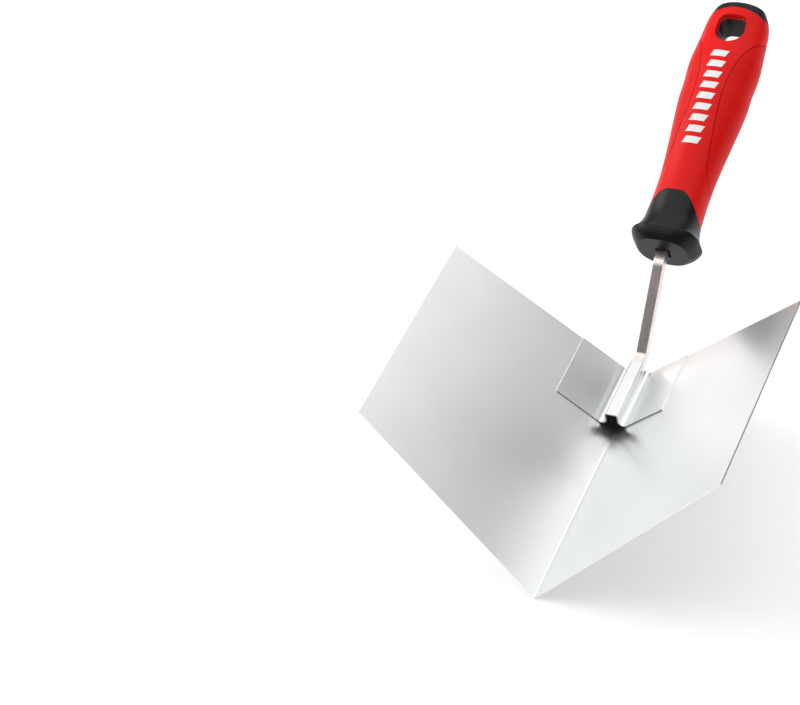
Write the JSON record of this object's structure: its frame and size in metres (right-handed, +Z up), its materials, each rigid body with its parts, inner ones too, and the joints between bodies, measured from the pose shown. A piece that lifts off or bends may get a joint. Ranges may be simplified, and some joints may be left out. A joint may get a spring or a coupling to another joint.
{
  "type": "inside corner trowel",
  "caption": "Inside corner trowel: a folded V blade of thin steel on a saddle bracket, with a bent square shank and a soft moulded handle with a hanging hole.",
  "frame": {"origin": "the outer corner line of the blade's fold, at its nose end", "axes": "+Y back along the fold towards the handle, +Z up into the V on the handle's side, +X to the right seen from the nose"},
  "size_m": [0.1558, 0.2953, 0.086],
  "materials": {
    "blade_steel": "satin",
    "bracket_steel": "bright rolled",
    "shank_steel": "bright plated",
    "black_plastic": "moulded",
    "black_rubber": "satin",
    "red_rubber": "satin",
    "red_rubber_panel": "matte"
  },
  "bodies": {
    "root": {"blade": "blade_steel", "saddle_bracket": "bracket_steel", "shank": "shank_steel", "handle_core": "black_plastic", "collar": "black_rubber", "grip_sleeve": "red_rubber", "left_grip_panel": "red_rubber_panel", "right_grip_panel": "red_rubber_panel", "end_cap": "black_rubber"}
  },
  "joints": []
}
